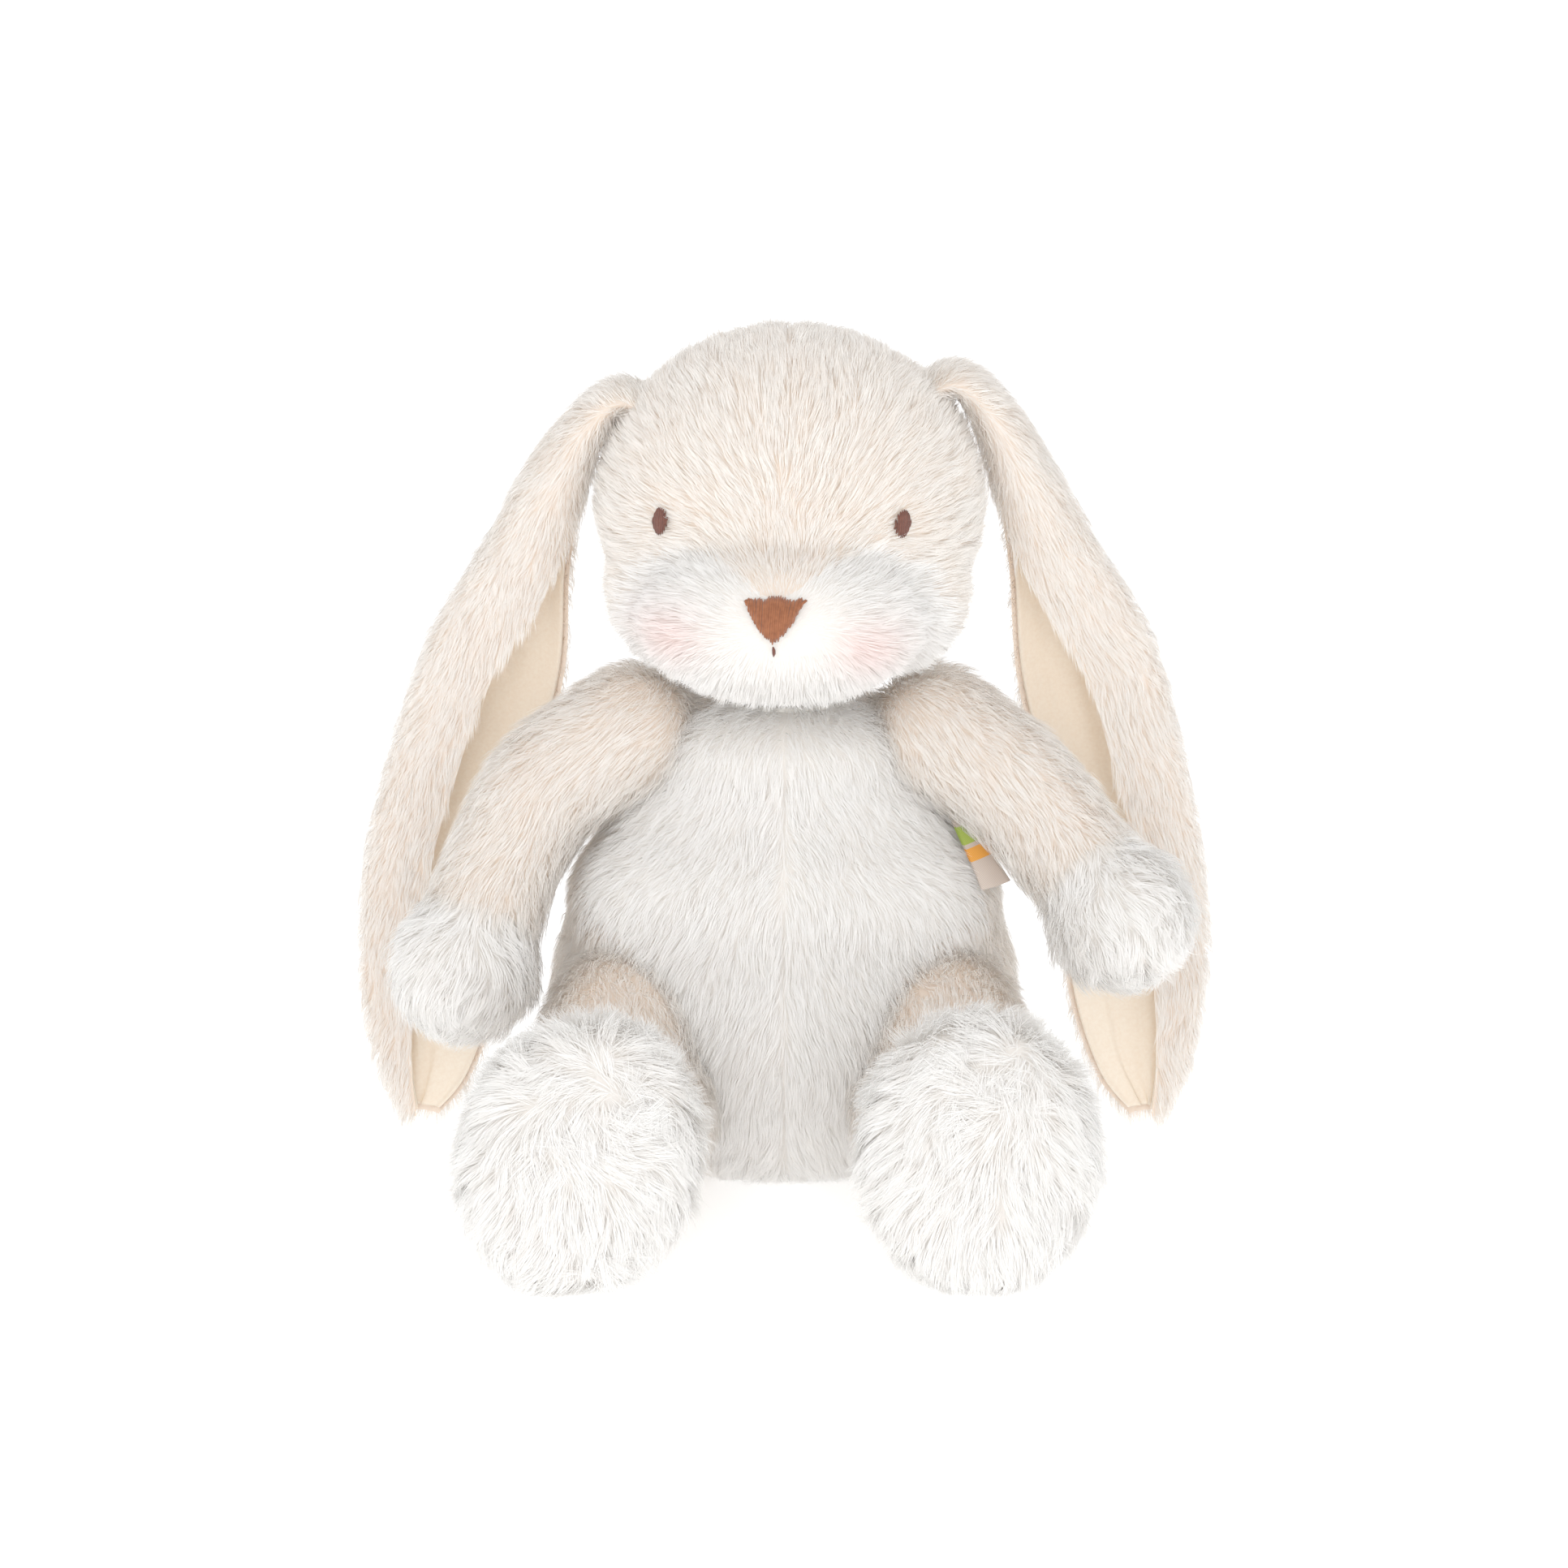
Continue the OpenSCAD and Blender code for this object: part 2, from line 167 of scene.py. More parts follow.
def puff(obj, zones):
    """Cloth simulation: the filling swells each panel of a form between its seams, which hold still."""
    mesh = obj.data
    before = np.zeros(len(mesh.vertices) * 3)
    mesh.vertices.foreach_get("co", before)
    before = before.reshape(-1, 3)
    panel = zones(before / MM)
    ends = np.array([edge.vertices[:] for edge in mesh.edges])
    seam = ends[panel[ends[:, 0]] != panel[ends[:, 1]]]
    held = obj.vertex_groups.new(name="seam")
    held.add(np.unique(seam).tolist(), 1.0, "REPLACE")
    cloth = obj.modifiers.new("filling", "CLOTH")
    cloth.settings.use_pressure = True
    cloth.settings.uniform_pressure_force = 4
    cloth.settings.vertex_group_mass = "seam"
    cloth.settings.effector_weights.gravity = 0
    for frame_number in range(1, 21):
        bpy.context.scene.frame_set(frame_number)
    swollen = obj.evaluated_get(bpy.context.evaluated_depsgraph_get()).data
    after = np.zeros(len(mesh.vertices) * 3)
    swollen.vertices.foreach_get("co", after)
    move = after.reshape(-1, 3) - before
    far = np.linalg.norm(move, axis=1)[:, None]
    move *= np.minimum(1, SWELL / np.maximum(far, 1e-9))
    obj.modifiers.clear()
    bpy.context.scene.frame_set(1)
    mesh.vertices.foreach_set("co", (before + move).ravel())
    mesh.update()
    soft = obj.modifiers.new("soft", "SMOOTH")
    soft.factor = 0.5
    soft.iterations = 2
    apply_modifiers(obj)


def apply_modifiers(obj):
    bpy.context.view_layer.update()
    done = bpy.data.meshes.new_from_object(obj.evaluated_get(bpy.context.evaluated_depsgraph_get()))
    obj.modifiers.clear()
    obj.data = done
    for face in obj.data.polygons:
        face.use_smooth = True
    return obj


# ---- Fur ----


class Surface:
    """A triangulated skin as arrays."""

    def __init__(self, obj):
        mesh = obj.data
        mesh.calc_loop_triangles()
        self.co = np.zeros(len(mesh.vertices) * 3)
        mesh.vertices.foreach_get("co", self.co)
        self.co = self.co.reshape(-1, 3)
        self.normal = np.zeros(len(mesh.vertices) * 3)
        mesh.vertices.foreach_get("normal", self.normal)
        self.normal = self.normal.reshape(-1, 3)
        self.tris = np.zeros(len(mesh.loop_triangles) * 3, int)
        mesh.loop_triangles.foreach_get("vertices", self.tris)
        self.tris = self.tris.reshape(-1, 3)
        self.centres = self.co[self.tris].mean(1)

    def cut(self, keep):
        """The same surface with only the triangles that keep holds."""
        part = object.__new__(Surface)
        part.co, part.normal = self.co, self.normal
        part.tris = self.tris[keep]
        part.centres = self.centres[keep]
        return part


def unit(v):
    return v / np.maximum(np.linalg.norm(v, axis=1), 1e-9)[:, None]


def smoothstep(x, low, high):
    t = np.clip((x - low) / (high - low), 0, 1)
    return t * t * (3 - 2 * t)


def swirl(points, size, seed):
    """A smooth random vector at each point, with swirls of about this size."""
    shift = Vector((seed * 7.1, seed * 3.3, seed * 5.7))
    apart = [Vector((9.3, -1.5, -8.0)), Vector((0, 0, 0)), Vector((6.3, 0.2, -2.7))]
    return np.array([[noise.noise(Vector(p) / size + shift + far) for far in apart] for p in points])


class Pile:
    """How a fabric's pile grows: lengths in mm, angles in degrees."""

    def __init__(self, length, density, lift=46, lie=10, width=0.27, clump=20, gather=0.25,
                 swirl=0.25, swirl_size=18, stray=0.1, parts=2):
        self.length, self.density = length, density
        self.lift, self.lie, self.width = lift, lie, width
        self.clump, self.gather = clump, gather
        self.swirl, self.swirl_size, self.stray, self.parts = swirl, swirl_size, stray, parts


def scatter(surface, density, rng):
    """Points and normals spread evenly over the surface, density to the square mm."""
    a, b, c = (surface.co[surface.tris[:, i]] for i in range(3))
    area = np.linalg.norm(np.cross(b - a, c - a), axis=1) / 2
    count = int(area.sum() / MM**2 * density)
    where = (np.arange(count) + rng.random(count)) / count * area.sum()
    pick = np.minimum(np.searchsorted(np.cumsum(area), where), len(area) - 1)
    u, v = rng.random(count), rng.random(count)
    flip = u + v > 1
    u[flip], v[flip] = 1 - u[flip], 1 - v[flip]
    w = np.stack([1 - u - v, u, v], 1)[:, :, None]
    points = (surface.co[surface.tris[pick]] * w).sum(1)
    normals = unit((surface.normal[surface.tris[pick]] * w).sum(1))
    return points, normals


def grow(surface, pile, flow, seed, length=None, lift=None):
    """Strand rows (count, parts + 1, 3), their normals and tone; flow(points, normals) combs the pile."""
    rng = np.random.default_rng(seed)
    roots, normals = scatter(surface, pile.density, rng)
    count = len(roots)
    combed = flow(roots, normals)
    # Strands gather in clumps that share a length and a direction
    centre = rng.choice(count, max(count // pile.clump, 1), replace=False)
    tree = KDTree(len(centre))
    for k, i in enumerate(centre):
        tree.insert(roots[i], k)
    tree.balance()
    own = np.array([tree.find(p)[1] for p in roots])
    bend = swirl(roots[centre], pile.swirl_size * MM, seed) * pile.swirl * 2
    bend += rng.normal(0, pile.swirl * 0.45, (len(centre), 3))
    long = rng.normal(1, 0.12, len(centre))
    base = pile.length * MM if length is None else length(roots) * MM
    rise = math.radians(pile.lift) if lift is None else np.radians(lift(roots))
    size = base * np.clip(long[own] * rng.normal(1, 0.14, count), 0.45, 1.5)
    run = combed + bend[own] + rng.normal(0, pile.stray, (count, 3))
    run = unit(run - normals * (run * normals).sum(1)[:, None])
    lie = math.radians(pile.lie)
    rise = np.broadcast_to(rise, (count,)) * rng.normal(1, 0.12, count)
    parts = pile.parts
    rows = [roots - normals * 0.5 * MM]
    for part in np.linspace(0, 1, parts):
        angle = (rise + (lie - rise) * part)[:, None]
        step = normals * np.sin(angle) + run * np.cos(angle)
        rows.append(rows[-1] + step * (size / parts)[:, None])
    rows = np.stack(rows, 1)
    # The tips of a clump draw together
    middle = np.zeros((len(centre), parts + 1, 3))
    total = np.maximum(np.bincount(own, minlength=len(centre)), 1)
    for k in range(parts + 1):
        for axis in range(3):
            middle[:, k, axis] = np.bincount(own, rows[:, k, axis], len(centre)) / total
    along = np.linspace(0, 1, parts + 1) ** 1.5
    pull = pile.gather * along[None, :, None] * rng.uniform(0.6, 1.2, count)[:, None, None]
    rows += (middle[own] - rows) * pull
    rows[:, :, 2] = np.maximum(rows[:, :, 2], FLOOR_GAP + rng.random((count, 1)) * 0.6 * MM)
    tone = np.clip(rng.normal(0.5, 0.16, count) + rng.normal(0, 0.12, len(centre))[own], 0, 1)
    return rows, normals, tone


def ribbons(rows, normals, width, rng):
    """Tapered ribbons along strand rows: vertices, quads and triangles."""
    parts = rows.shape[1] - 1
    along = unit(rows[:, -1] - rows[:, 0])
    side = unit(np.cross(along, normals))
    roll = rng.normal(0, 0.6, len(rows))[:, None]
    side = side * np.cos(roll) + np.cross(along, side) * np.sin(roll)
    facing = unit(np.cross(side, along))
    shading = unit(normals * SKIN_SHARE + facing * (1 - SKIN_SHARE))
    each = 2 * parts + 1
    shading = np.repeat(shading, each, axis=0)
    verts = []
    for k in range(parts):
        half = side * width * MM / 2 * (1 - 0.35 * (k / max(parts - 1, 1)) ** 2)
        verts += [rows[:, k] - half, rows[:, k] + half]
    verts.append(rows[:, -1])
    verts = np.stack(verts, 1).reshape(-1, 3)
    first = np.arange(len(rows))[:, None] * each
    corners = np.array([[0, 1, 3, 2]]) + 2 * np.arange(parts - 1)[:, None]
    quads = (first[:, :, None] + corners[None]).reshape(-1, 4)
    tips = (first + np.array([[each - 3, each - 2, each - 1]])).reshape(-1, 3)
    return verts, quads, tips, shading


def mesh_from(name, verts, faces_by_size, tone, slots, normals=None):
    """A mesh from arrays of faces, each with its number of corners and its material's number."""
    mesh = bpy.data.meshes.new(name)
    mesh.vertices.add(len(verts))
    mesh.vertices.foreach_set("co", verts.astype(np.float32).ravel())
    loops = np.concatenate([f.ravel() for f in faces_by_size])
    sizes = np.concatenate([np.full(len(f), f.shape[1]) for f in faces_by_size])
    starts = np.concatenate([[0], np.cumsum(sizes)[:-1]])
    mesh.loops.add(len(loops))
    mesh.loops.foreach_set("vertex_index", loops.astype(np.int32))
    mesh.polygons.add(len(sizes))
    mesh.polygons.foreach_set("loop_start", starts.astype(np.int32))
    mesh.polygons.foreach_set("material_index", slots.astype(np.int32))
    mesh.polygons.foreach_set("use_smooth", np.ones(len(sizes), bool))
    mesh.attributes.new("tone", "FLOAT", "POINT").data.foreach_set("value", tone.astype(np.float32))
    mesh.update(calc_edges=True)
    if normals is not None:
        soft = mesh.attributes.new("custom_normal", "FLOAT_VECTOR", "POINT")
        soft.data.foreach_set("vector", normals.astype(np.float32).ravel())
    obj = bpy.data.objects.new(name, mesh)
    bpy.context.scene.collection.objects.link(obj)
    return obj


def fur_piece(name, surface, pile, flow, seed, material, length=None, lift=None, cloth=True,
              marks=None):
    """One cut panel of fur fabric: its pile, and its cloth unless that is a piece of its own."""
    rows, normals, tone = grow(surface, pile, flow, seed, length, lift)
    rng = np.random.default_rng(seed + 500)
    verts, quads, tips, shading = ribbons(rows, normals, pile.width, rng)
    used, backing = np.unique(surface.tris if cloth else np.zeros(0, int), return_inverse=True)
    backing = backing.reshape(-1, 3)
    # The tone runs from root to tip: each strand's own random tone, plus painted shade that darkens and warms
    # the roots deep in the pile
    rise = np.append(np.repeat(np.linspace(0, 0.9, pile.parts), 2), 1.0)
    tone_with_root_shade = (tone[:, None] * 0.5 + rise[None] * 0.5).ravel()
    all_verts = np.concatenate([surface.co[used], verts])
    # The backing cloth takes the lowest tone, the painted shade at the roots
    all_tone_with_root_shade = np.concatenate([np.zeros(len(used)), tone_with_root_shade])
    faces = [backing, quads + len(used), tips + len(used)]
    slots = np.zeros(len(backing) + len(quads) + len(tips))
    all_normals = np.concatenate([surface.normal[used], shading])
    obj = mesh_from(name, all_verts, faces, all_tone_with_root_shade, slots, all_normals)
    if marks is not None:
        mark = obj.data.attributes.new("blush", "FLOAT", "POINT")
        mark.data.foreach_set("value", marks(all_verts).astype(np.float32))
    obj.data.materials.append(material)
    return obj


# ---- Materials ----


def cloth_material(name, low, high, roughness=0.85, sheen=0.3, scale=60, attribute=None, blush=False,
                   through=0.0):
    """A soft fabric whose colour runs from low to high with its own fine variation."""
    material = bpy.data.materials.new(name)
    material.use_nodes = True
    nodes, links = material.node_tree.nodes, material.node_tree.links
    surface = nodes["Principled BSDF"]
    surface.inputs["Roughness"].default_value = roughness
    surface.inputs["Specular IOR Level"].default_value = 0.25
    surface.inputs["Sheen Weight"].default_value = sheen
    surface.inputs["Sheen Roughness"].default_value = 0.5
    coordinates = nodes.new("ShaderNodeTexCoord")
    grain = nodes.new("ShaderNodeTexNoise")
    grain.inputs["Scale"].default_value = scale
    grain.inputs["Detail"].default_value = 4
    links.new(coordinates.outputs["Object"], grain.inputs["Vector"])
    value = grain.outputs["Fac"]
    if attribute:
        tone = nodes.new("ShaderNodeAttribute")
        tone.attribute_name = attribute
        both = nodes.new("ShaderNodeMath")
        both.operation = "MULTIPLY_ADD"
        both.inputs[1].default_value = 0.25
        links.new(grain.outputs["Fac"], both.inputs[0])
        links.new(tone.outputs["Fac"], both.inputs[2])
        value = both.outputs[0]
    ramp = nodes.new("ShaderNodeValToRGB")
    ramp.color_ramp.elements[0].color = (*low, 1)
    ramp.color_ramp.elements[1].color = (*high, 1)
    ramp.color_ramp.elements[0].position = 0.15
    ramp.color_ramp.elements[1].position = 0.85
    links.new(value, ramp.inputs["Fac"])
    colour = ramp.outputs["Color"]
    if blush:
        colour = blushed(nodes, links, colour)
    links.new(colour, surface.inputs["Base Color"])
    if through:
        # Light also comes through the thin strands
        glow = nodes.new("ShaderNodeBsdfTranslucent")
        links.new(colour, glow.inputs["Color"])
        both_sides = nodes.new("ShaderNodeMixShader")
        both_sides.inputs["Fac"].default_value = through
        links.new(surface.outputs["BSDF"], both_sides.inputs[1])
        links.new(glow.outputs["BSDF"], both_sides.inputs[2])
        links.new(both_sides.outputs["Shader"], nodes["Material Output"].inputs["Surface"])
    return material


def blushed(nodes, links, colour):
    """The pile's colour with the powdered pink of the cheeks on it."""
    mark = nodes.new("ShaderNodeAttribute")
    mark.attribute_name = "blush"
    mix = nodes.new("ShaderNodeMix")
    mix.data_type = "RGBA"
    links.new(mark.outputs["Fac"], mix.inputs["Factor"])
    links.new(colour, mix.inputs["A"])
    mix.inputs["B"].default_value = (0.93, 0.62, 0.58, 1)
    return mix.outputs["Result"]


def ribbon_material():
    """Plain weave with an olive and an orange band across it."""
    material = bpy.data.materials.new("ribbon_weave")
    material.use_nodes = True
    nodes, links = material.node_tree.nodes, material.node_tree.links
    surface = nodes["Principled BSDF"]
    surface.inputs["Roughness"].default_value = 0.7
    surface.inputs["Sheen Weight"].default_value = 0.2
    coordinates = nodes.new("ShaderNodeTexCoord")
    height = nodes.new("ShaderNodeAttribute")
    height.attribute_name = "height"
    bands = nodes.new("ShaderNodeValToRGB")
    bands.color_ramp.interpolation = "CONSTANT"
    linen = (0.62, 0.52, 0.45, 1)
    bands.color_ramp.elements[0].color = linen
    bands.color_ramp.elements[1].position = 0.40
    bands.color_ramp.elements[1].color = (0.86, 0.36, 0.05, 1)
    for place, colour in ((0.58, linen), (0.64, (0.38, 0.50, 0.08, 1)), (0.90, linen)):
        bands.color_ramp.elements.new(place).color = colour
    links.new(height.outputs["Fac"], bands.inputs["Fac"])
    weave = nodes.new("ShaderNodeTexWave")
    weave.wave_type = "BANDS"
    weave.bands_direction = "DIAGONAL"
    weave.inputs["Scale"].default_value = 700
    weave.inputs["Distortion"].default_value = 0.6
    links.new(coordinates.outputs["Object"], weave.inputs["Vector"])
    shade = nodes.new("ShaderNodeMix")
    shade.data_type = "RGBA"
    shade.blend_type = "MULTIPLY"
    shade.inputs["Factor"].default_value = 0.25
    links.new(bands.outputs["Color"], shade.inputs["A"])
    links.new(weave.outputs["Color"], shade.inputs["B"])
    links.new(shade.outputs["Result"], surface.inputs["Base Color"])
    return material


# Each low colour serves both the strands' own darker random tone and the painted warm shade at the roots and
# backing; the high colour is the tips'
CREAM = cloth_material("cream_pile", (0.94, 0.835, 0.735), (0.955, 0.935, 0.905), attribute="tone",
                       through=0.3)
WHITE = cloth_material("white_pile", (0.95, 0.92, 0.885), (0.97, 0.965, 0.955), attribute="tone", blush=True,
                       through=0.3)
VELOUR = cloth_material("lining_velour", (0.86, 0.74, 0.60), (0.93, 0.85, 0.73), scale=900, sheen=0.5)
FIBRE = cloth_material("filling_fibre", (0.80, 0.79, 0.76), (0.93, 0.92, 0.90), scale=300)
BROWN = cloth_material("brown_thread", (0.16, 0.045, 0.015), (0.36, 0.12, 0.045), roughness=0.5, scale=700)
DARK = cloth_material("dark_thread", (0.07, 0.022, 0.014), (0.17, 0.055, 0.035), roughness=0.45, scale=700)
BAG_CLOTH = cloth_material("bag_weave", (0.75, 0.72, 0.66), (0.88, 0.85, 0.80), scale=1200)
THREAD = cloth_material("seam_thread", (0.78, 0.75, 0.70), (0.92, 0.90, 0.86), roughness=0.6, scale=900)
PLASTIC = cloth_material("pellet_plastic", (0.72, 0.72, 0.70), (0.86, 0.86, 0.84), roughness=0.35, sheen=0,
                         scale=200)
RIBBON = ribbon_material()


# ---- Shapes as the CAD has them, in mm ----

SOLE_Y = -120
HIP = (54, -22, 42)
LEFT_ARM = [(-50, 0, 156), (-80, -5, 137), (-96, -14, 110), (-107, -25, 80)]
RIGHT_ARM = [(50, 0, 156), (77, -10, 139), (97, -22, 118), (112, -34, 100)]
FEET = {-1: ((-65, -116, 44.8), 20), 1: ((62, -116, 46), 3)}
SKULL = (2, 2, 234)
HEAD_TURN = -4
FOOT_TILT = -12
FOOT_SHIFT = (0, -6, -2.5)  # the middle of the furry foot from the middle of the CAD foot
FOOT_SIZE = (39.5, 25, 46.5)
NOSE_TIP = (-1, -76, 206)
BELLY = [(-34, 175), (34, 175), (52, 140), (64, 112), (66, 96), (50, 88), (34, 68), (25, 30), (24, -10),
         (-24, -10), (-25, 30), (-34, 68), (-50, 88), (-66, 96), (-64, 112), (-52, 140)]
MUZZLE = [(0, -24), (14, -15), (30, -9), (46, -17), (54, -32), (54, -80), (-54, -80), (-54, -32),
          (-46, -17), (-30, -9), (-14, -15)]
NOSE_MIDDLE = (SKULL[0], 205.5)
EYE = (38.5, 233.0)  # from the middle of the face, and up
BLUSH = [(-38, 198), (28, 195)]
TAIL = (0, 81.4, 32)
PELLET_BAG = (0, 24, 19)
LABEL_SEAM = ((66.5, -22.5, 105.5), (57, -12.5, 127))
# An ear's stations: x, y, z, half its width and depth, and the degrees that it wraps to the front and back
EAR_LOW = [(121, 47, 95, 28.5, 12.5, 82, 165), (124, 45, 55, 27, 11, 75, 168),
           (126, 42, 25, 19, 9.5, 70, 168), (128, 40, 9, 9, 8, 70, 150)]
EAR_LINES = {
    -1: [(40, 4, 261, 5, 16, 150, 150), (54, 8, 268, 6.6, 20, 150, 150), (66, 10, 258, 9, 21, 150, 150),
         (77, 16, 237, 13.5, 20, 150, 150), (86, 25, 211, 18, 18, 125, 150), (97.5, 38, 175, 27, 16, 90, 158),
         (110.5, 45, 135, 28.5, 14, 84, 162)] + EAR_LOW,
    1: [(42, 4, 265, 5, 16, 150, 150), (56, 8, 274, 6.6, 20, 150, 150), (69, 10, 263, 9, 21, 150, 150),
        (80, 16, 240, 13, 20, 150, 150), (89.5, 25, 213, 18, 18, 125, 150), (102, 38, 175, 27, 16, 92, 158),
        (113, 45, 135, 28, 14, 86, 162)] + EAR_LOW,
}
I = SKIN_INSET / MM


def inside(polygon, x, z):
    """Which of the points x, z lie inside the polygon."""
    hit = np.zeros(len(x), bool)
    for (ax, az), (bx, bz) in zip(polygon, polygon[1:] + polygon[:1]):
        crosses = (az > z) != (bz > z)
        with np.errstate(divide="ignore", invalid="ignore"):
            at = (bx - ax) * (z - az) / (bz - az) + ax
        hit ^= crosses & (x < at)
    return hit


def faced(points, back=False):
    """Points in mm turned with the face about the skull's upright axis, or turned back."""
    a = math.radians(-HEAD_TURN if back else HEAD_TURN)
    x, y = points[:, 0] - SKULL[0], points[:, 1] - SKULL[1]
    out = points.copy()
    out[:, 0] = SKULL[0] + x * math.cos(a) - y * math.sin(a)
    out[:, 1] = SKULL[1] + x * math.sin(a) + y * math.cos(a)
    return out


# Each form is a few balls and limbs that grow into one skin


def torso_form(bm):
    ball(bm, (0, 10, 62), (82 - I, 60 - I, 71 - I))
    ball(bm, (0, 8, 111), (64.5 - I, 48 - I, 54 - I))
    ball(bm, (0, -2, 98), (75 - I, 48 - I, 42 - I))
    ball(bm, (0, 11, 92), (76 - I, 55 - I, 50 - I))
    ball(bm, (0, 1, 150), (46 - I, 37 - I, 22 - I))
    ball(bm, (0, 6, 154), (41 - I, 37 - I, 22.5 - I))


def head_form(bm):
    ball(bm, SKULL, (67 - I, 56 - I, 61 - I))
    ball(bm, (2, -38, 200), (49 - I, 38 - I, 29 - I))
    for side in (-1, 1):
        ball(bm, (2 + side * 34, -10, 207), (29 - I, 32 - I, 31 - I))
    bmesh.ops.rotate(bm, verts=bm.verts, cent=Vector(SKULL) * MM,
                     matrix=Matrix.Rotation(math.radians(HEAD_TURN), 3, "Z"))


def arm_form(line):
    rows = [(*p, r - I) for p, r in zip(line, (25, 23, 21.5, 23))]
    def fill(bm):
        limb(bm, rows)
        ball(bm, line[3], (26 - I,) * 3)
    return fill


def leg_form(side):
    (fx, fy, fz), lean = FEET[side]
    hx, hy, hz = side * HIP[0], HIP[1], HIP[2]
    def fill(bm):
        ball(bm, (hx, hy, hz), (32 - I, 42 - I, 46 - I))
        limb(bm, [(hx, hy, hz - 6, 33 - I), (hx, hy - 25, hz - 8, 32 - I), (fx, fy, fz - 8, 28 - I)])
        foot = np.array(FEET[side][0]) + FOOT_SHIFT
        ball(bm, foot, np.array(FOOT_SIZE) - I, turn=(FOOT_TILT, -side * lean, 0))
    return fill


def in_foot(points, side, grow):
    middle, lean = FEET[side]
    spin = Matrix.Rotation(math.radians(-side * lean), 3, "Y")
    spin = spin @ Matrix.Rotation(math.radians(FOOT_TILT), 3, "X")
    local = (points - np.array(middle) - FOOT_SHIFT) @ np.array(spin)
    return ((local / (np.array(FOOT_SIZE) + grow)) ** 2).sum(1) < 1


# ---- How each pile is combed: a direction at each point, in metres ----


def flow_head(points, normals):
    p = points / MM
    away = unit(p - np.array(NOSE_TIP))
    behind = smoothstep(p[:, 1], -5, 45)[:, None]
    below = smoothstep(205 - p[:, 2], 0, 30)[:, None]
    combed = away + behind * np.array([0, 0, -1.6]) + below * np.array([0, 0, -0.5])
    off = p[:, 0] - SKULL[0]
    crown = smoothstep(p[:, 2], 245, 275) * 0.1 * np.sign(off) * np.exp(-np.abs(off) / 7)
    combed[:, 0] += crown
    return combed


def flow_torso(points, normals):
    p = points / MM
    seam = np.sign(p[:, 0]) * 0.3 * np.exp(-np.abs(p[:, 0]) / 7)
    return np.stack([p[:, 0] / 110 + seam, np.zeros(len(p)), np.full(len(p), -1.0)], 1)


def flow_along(line, droop=0.3):
    rows = np.array(line, float)
    def flow(points, normals):
        p = points / MM
        out = np.zeros_like(p)
        for i in range(len(rows) - 1):
            d = rows[i + 1] - rows[i]
            near = np.exp(-((np.linalg.norm(p - (rows[i] + d / 2), axis=1) / 22) ** 2))
            out += near[:, None] * d / np.linalg.norm(d)
        out = unit(out + 1e-6)
        out[:, 2] -= droop
        return out
    return flow


def flow_from(centre, droop=0.3):
    def flow(points, normals):
        out = unit(points / MM - np.array(centre, float))
        out[:, 2] -= droop
        return out
    return flow


# ---- Pieces ----


def split(obj, zones):
    """Surfaces of one form by zone: zones(points in mm) gives each triangle's number."""
    whole = Surface(obj)
    number = zones(whole.centres / MM)
    return [whole.cut(number == k) for k in range(number.max() + 1)]


def dress(obj, node, body):
    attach(obj, body)
    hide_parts(node)


def stuff(form_obj, node, body):
    """The filling: the same closed form, just inside the cloth."""
    mesh = form_obj.data
    co = np.zeros(len(mesh.vertices) * 3)
    normal = np.zeros(len(mesh.vertices) * 3)
    mesh.vertices.foreach_get("co", co)
    mesh.vertices.foreach_get("normal", normal)
    mesh.vertices.foreach_set("co", co - normal * 1.2 * MM)
    mesh.update()
    mesh.materials.clear()
    mesh.materials.append(FIBRE)
    form_obj.name = node + "_fill"
    dress(form_obj, node, body)


HEAD_PILE = Pile(9, 2.2)
BODY_PILE = Pile(10, 1.9)
ARM_PILE = Pile(10, 2.0)
LEG_PILE = Pile(11, 1.7)
PAW_PILE = Pile(11, 2.0, lift=48, lie=8, swirl=0.45, gather=0.3, parts=3)
FOOT_PILE = Pile(12, 2.1, lift=42, lie=5, swirl=0.4, clump=30, gather=0.26, width=0.26, parts=3)
SOLE_PILE = Pile(12.5, 2.4, lift=36, lie=2, swirl=0.5, swirl_size=16, clump=26, gather=0.26, width=0.26,
                 parts=3)
EAR_PILE = Pile(8.5, 2.0, lift=40, lie=8)
TAIL_PILE = Pile(14, 2.0, lift=60, lie=20, swirl=0.5, parts=3)


def head():
    skin = form("head", head_form)
    def zones(p):
        q = faced(p, back=True)
        muzzle = (q[:, 1] < -8) & inside(MUZZLE, q[:, 0] - SKULL[0], q[:, 2] - SKULL[2])
        return np.where(muzzle, 2, np.where(q[:, 0] < SKULL[0], 0, 1))
    puff(skin, zones)
    left, right, muzzle = split(skin, zones)
    eyes = faced(np.array([(SKULL[0] + s * EYE[0], -46, EYE[1]) for s in (-1, 1)]))
    def length(points):
        p = points / MM
        to_nose = np.linalg.norm(p - np.array(NOSE_TIP), axis=1)
        to_eye = np.min([np.linalg.norm(p - e, axis=1) for e in eyes], axis=0)
        short = smoothstep(to_nose, 9, 34) * 0.72 + 0.28
        return 9 * short * (0.45 + 0.55 * smoothstep(to_eye, 4, 14))
    def cheeks(points):
        p = points / MM
        near = [np.exp(-(((p[:, 0] - x) / 11) ** 2) - ((p[:, 2] - z) / 9) ** 2) for x, z in BLUSH]
        return 0.34 * np.clip(near[0] + near[1], 0, 1)
    for node, part, seed, material, slot in (
        ("head_skin_left", left, 11, CREAM, "cream_fur"), ("head_skin_right", right, 12, CREAM, "cream_fur"),
        ("muzzle_panel", muzzle, 13, WHITE, "white_fur"),
    ):
        obj = fur_piece(node + "_fur", part, HEAD_PILE, flow_head, seed, material, length, marks=cheeks)
        dress(obj, node, "head")
    face(skin)
    stuff(skin, "head_stuffing", "head")


